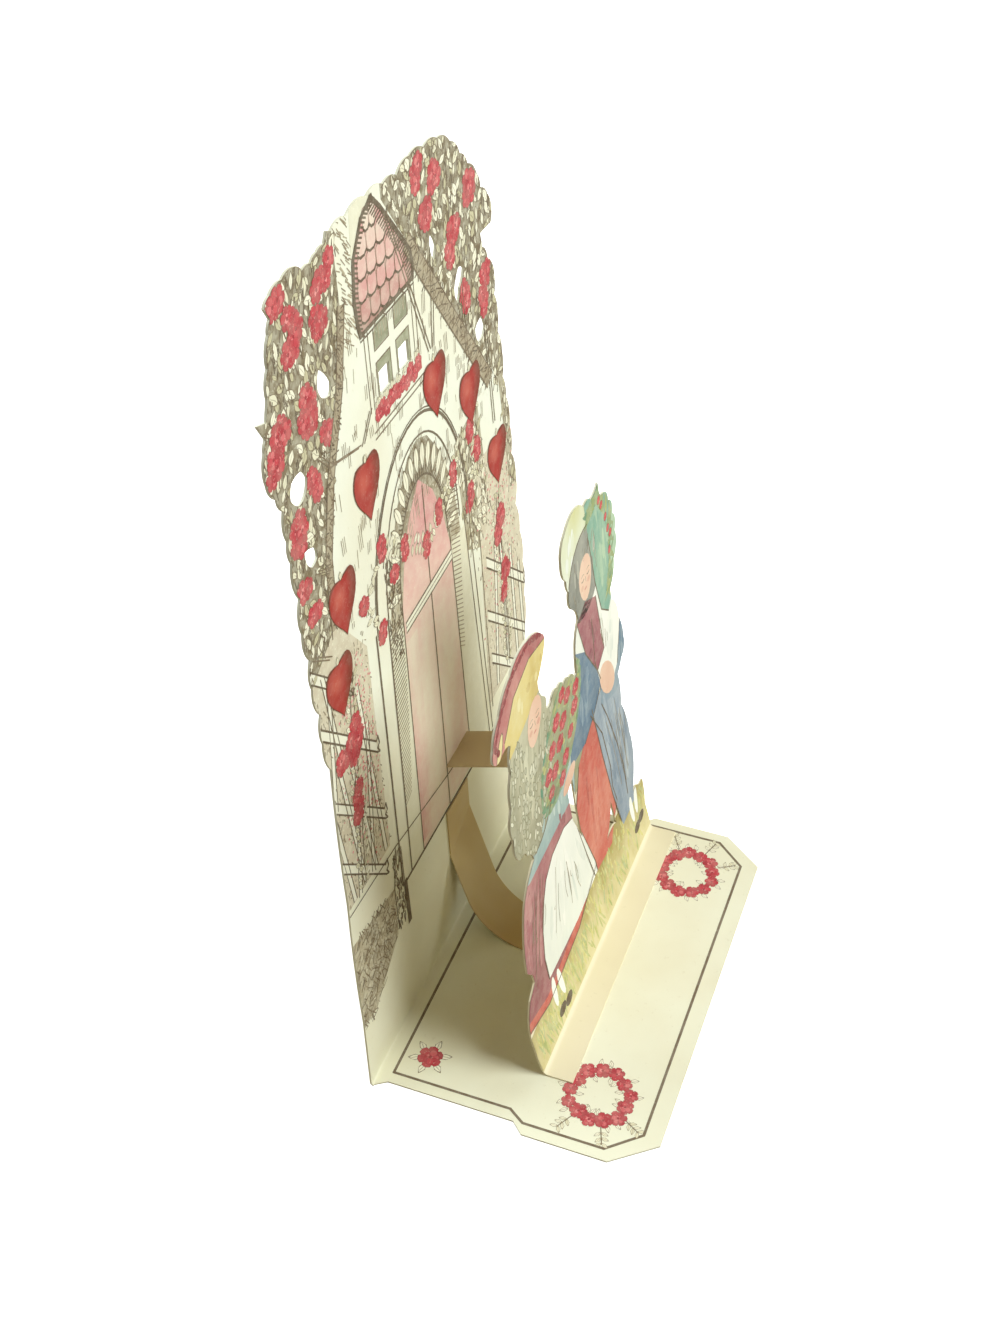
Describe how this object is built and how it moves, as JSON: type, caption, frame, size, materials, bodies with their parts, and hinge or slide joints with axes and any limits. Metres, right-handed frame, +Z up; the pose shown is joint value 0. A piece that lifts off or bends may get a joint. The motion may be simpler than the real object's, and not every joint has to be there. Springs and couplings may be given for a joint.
{
  "type": "greeting card",
  "caption": "Free-standing folded greeting card with a die-cut back panel, a standing figure sheet held by a paper strip, and a curved brace at the fold.",
  "frame": {"origin": "centre of the underside of the base", "axes": "+Z up, -Y towards the front of the card, +X to the right of someone who faces it"},
  "size_m": [0.1152, 0.075, 0.2002],
  "materials": {
    "card_board": "satin printed board",
    "figure_paper": "satin printed paper",
    "strip_paper": "matt unprinted paper"
  },
  "bodies": {
    "root": {"folded_card": "card_board", "figure_panel": "figure_paper", "upper_strip": "strip_paper", "lower_brace": "strip_paper"}
  },
  "joints": []
}
